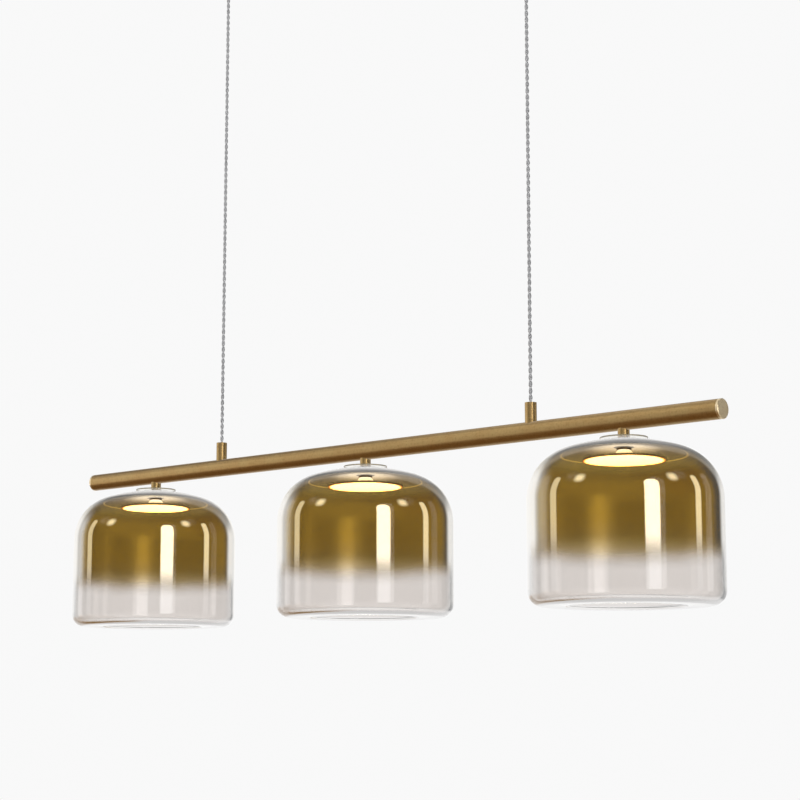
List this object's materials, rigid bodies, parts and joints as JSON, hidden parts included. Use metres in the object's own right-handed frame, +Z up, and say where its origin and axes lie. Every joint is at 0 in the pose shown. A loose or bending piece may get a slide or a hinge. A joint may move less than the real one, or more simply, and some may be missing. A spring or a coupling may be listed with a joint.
{
  "type": "linear pendant light",
  "caption": "Linear pendant light: a brass tube on two ceiling cables with domed glass shades, gilded at the top and clear below, each over a lit opal disc.",
  "frame": {"origin": "centre of the canopy bracket's face on the ceiling, midway between its two screw holes", "axes": "+Z up into the ceiling, +X along the bar towards the end nearest the viewer in the picture"},
  "size_m": [0.92, 0.195, 0.8447],
  "materials": {
    "brass": "fine brushed, aged brass",
    "gilded_glass": "clear blown glass, gilded inside at the top and fading to clear",
    "clear_plastic": "clear polished acrylic",
    "opal_disc": "opal, lit warm white",
    "white_paint": "satin white paint",
    "board_white": "white solder mask",
    "silicone": "translucent silicone",
    "steel": "zinc plated",
    "cable_sheath": "clear sheath over tinned strands",
    "wire_white": "plain insulation",
    "connector_plastic": "moulded",
    "driver_case": "moulded"
  },
  "bodies": {
    "canopy": {"ceiling_bracket": "steel", "canopy_cover": "brass", "canopy_screws": "brass", "led_driver": "driver_case", "driver_screws": "steel", "terminal_block": "connector_plastic", "mains_lead": "wire_white", "grip_body_left": "brass", "grip_body_right": "brass", "grip_nuts": "steel", "grip_spring_left": "steel", "grip_spring_right": "steel", "cable_tail_left": "cable_sheath", "cable_tail_right": "cable_sheath"},
    "plunger_left": {"grip_plunger_left": "brass"},
    "plunger_right": {"grip_plunger_right": "brass"},
    "cables": {"cable_left": "cable_sheath", "cable_right": "cable_sheath"},
    "pendant": {"bar_tube": "brass", "end_cap_left": "brass", "end_cap_right": "brass", "cable_socket_left": "brass", "cable_socket_right": "brass", "stem_sleeve_left": "brass", "stem_sleeve_middle": "brass", "stem_sleeve_right": "brass", "clamp_nuts": "brass", "glass_shade_left": "gilded_glass", "glass_shade_middle": "gilded_glass", "glass_shade_right": "gilded_glass", "shade_plate_left": "clear_plastic", "shade_plate_middle": "clear_plastic", "shade_plate_right": "clear_plastic", "led_diffuser_left": "opal_disc", "led_diffuser_middle": "opal_disc", "led_diffuser_right": "opal_disc", "led_hub_left": "white_paint", "led_hub_middle": "white_paint", "led_hub_right": "white_paint", "led_board_left": "board_white", "led_board_middle": "board_white", "led_board_right": "board_white", "shade_gaskets_left": "silicone", "shade_gaskets_middle": "silicone", "shade_gaskets_right": "silicone", "saddle_nuts": "steel", "socket_grub_screws": "steel", "cable_ferrules": "steel", "stem_nipple_left": "steel", "stem_nipple_middle": "steel", "stem_nipple_right": "steel", "board_screws": "steel", "bus_cable": "wire_white", "led_lead_left": "wire_white", "led_lead_middle": "wire_white", "led_lead_right": "wire_white", "wire_connectors": "connector_plastic"}
  },
  "joints": [
    {"name": "grip_release_left", "type": "slide", "parent": "canopy", "child": "plunger_left", "axis": [0, 0, 1], "range_m": [0, 0.0025], "stiffness_N_per_m": 600, "springref_m": -0.002, "deforming": ["grip_spring_left"]},
    {"name": "grip_release_right", "type": "slide", "parent": "canopy", "child": "plunger_right", "axis": [0, 0, 1], "range_m": [0, 0.0025], "stiffness_N_per_m": 600, "springref_m": -0.002, "deforming": ["grip_spring_right"]},
    {"name": "pendant_swing", "type": "hinge", "parent": "canopy", "child": "cables", "pos_m": [0, 0, -0.055], "axis": [1, 0, 0], "range_deg": [-20, 20]},
    {"name": "hanging_height", "type": "slide", "parent": "cables", "child": "pendant", "axis": [0, 0, 1], "range_m": [0, 0.2], "deforming": ["cable_left", "cable_right"]}
  ]
}
